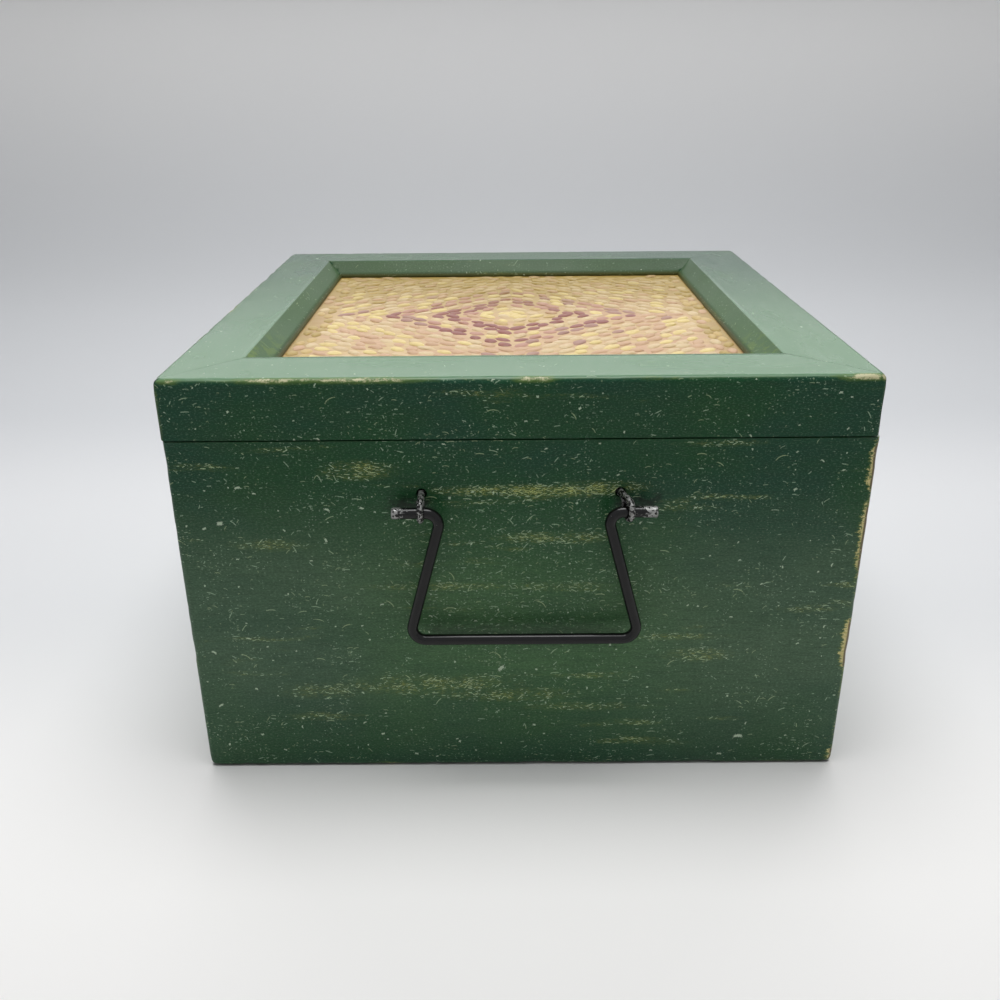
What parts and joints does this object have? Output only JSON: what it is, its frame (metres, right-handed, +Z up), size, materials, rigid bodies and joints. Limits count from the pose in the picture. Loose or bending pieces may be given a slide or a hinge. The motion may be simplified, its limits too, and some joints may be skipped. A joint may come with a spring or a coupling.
{
  "type": "wooden box",
  "caption": "Square wooden keepsake box with a hinged lid framed round a picture board, and a wire drop handle on opposite ends.",
  "frame": {"origin": "centre of the floor board's underside, on the surface that the box stands on", "axes": "+Z up; -Y is the end that carries the handle in the picture's view; the lid hinges along +X"},
  "size_m": [0.2202, 0.2352, 0.1388],
  "materials": {
    "green_paint": "dark green satin paint over wood, brushed with pale dry-brush streaks and worn at the edges",
    "picture_paint": "raised brush dabs of cream, ochre and burgundy paint on board",
    "bare_board": "bare brown board",
    "black_wire": "gloss black wire, chipped to grey metal at its ends",
    "aged_brass": "dull aged brass",
    "steel": "plain bright steel"
  },
  "bodies": {
    "box": {"front_wall": "green_paint", "rear_wall": "green_paint", "left_wall": "green_paint", "right_wall": "green_paint", "floor_board": "bare_board", "floor_brad_1": "steel", "floor_brad_2": "steel", "floor_brad_3": "steel", "floor_brad_4": "steel", "floor_brad_5": "steel", "floor_brad_6": "steel", "floor_brad_7": "steel", "floor_brad_8": "steel", "front_pin_left": "black_wire", "front_pin_right": "black_wire", "front_hinge_body_leaf": "aged_brass", "front_hinge_pin": "aged_brass", "front_hinge_body_screw_1": "aged_brass", "front_hinge_body_screw_2": "aged_brass", "rear_pin_left": "black_wire", "rear_pin_right": "black_wire", "rear_hinge_body_leaf": "aged_brass", "rear_hinge_pin": "aged_brass", "rear_hinge_body_screw_1": "aged_brass", "rear_hinge_body_screw_2": "aged_brass"},
    "lid": {"front_rail": "green_paint", "rear_rail": "green_paint", "left_rail": "green_paint", "right_rail": "green_paint", "picture_board": "picture_paint", "lid_backing": "bare_board", "front_backing_brad_1": "steel", "front_backing_brad_2": "steel", "rear_backing_brad_1": "steel", "rear_backing_brad_2": "steel", "left_backing_brad_1": "steel", "left_backing_brad_2": "steel", "right_backing_brad_1": "steel", "right_backing_brad_2": "steel", "front_hinge_lid_leaf": "aged_brass", "front_hinge_lid_screw_1": "aged_brass", "front_hinge_lid_screw_2": "aged_brass", "rear_hinge_lid_leaf": "aged_brass", "rear_hinge_lid_screw_1": "aged_brass", "rear_hinge_lid_screw_2": "aged_brass"},
    "front_bail": {"front_handle": "black_wire"},
    "rear_bail": {"rear_handle": "black_wire"}
  },
  "joints": [
    {"name": "lid_hinge", "type": "hinge", "parent": "box", "child": "lid", "pos_m": [0.11, 0, 0.1196], "axis": [0, 1, 0], "range_deg": [0, 190]},
    {"name": "front_handle_swing", "type": "hinge", "parent": "box", "child": "front_bail", "pos_m": [0.001, -0.1136, 0.0987], "axis": [-1, 0, 0], "range_deg": [-5, 180]},
    {"name": "rear_handle_swing", "type": "hinge", "parent": "box", "child": "rear_bail", "pos_m": [-0.001, 0.1136, 0.0987], "axis": [1, 0, 0], "range_deg": [-5, 180]}
  ]
}
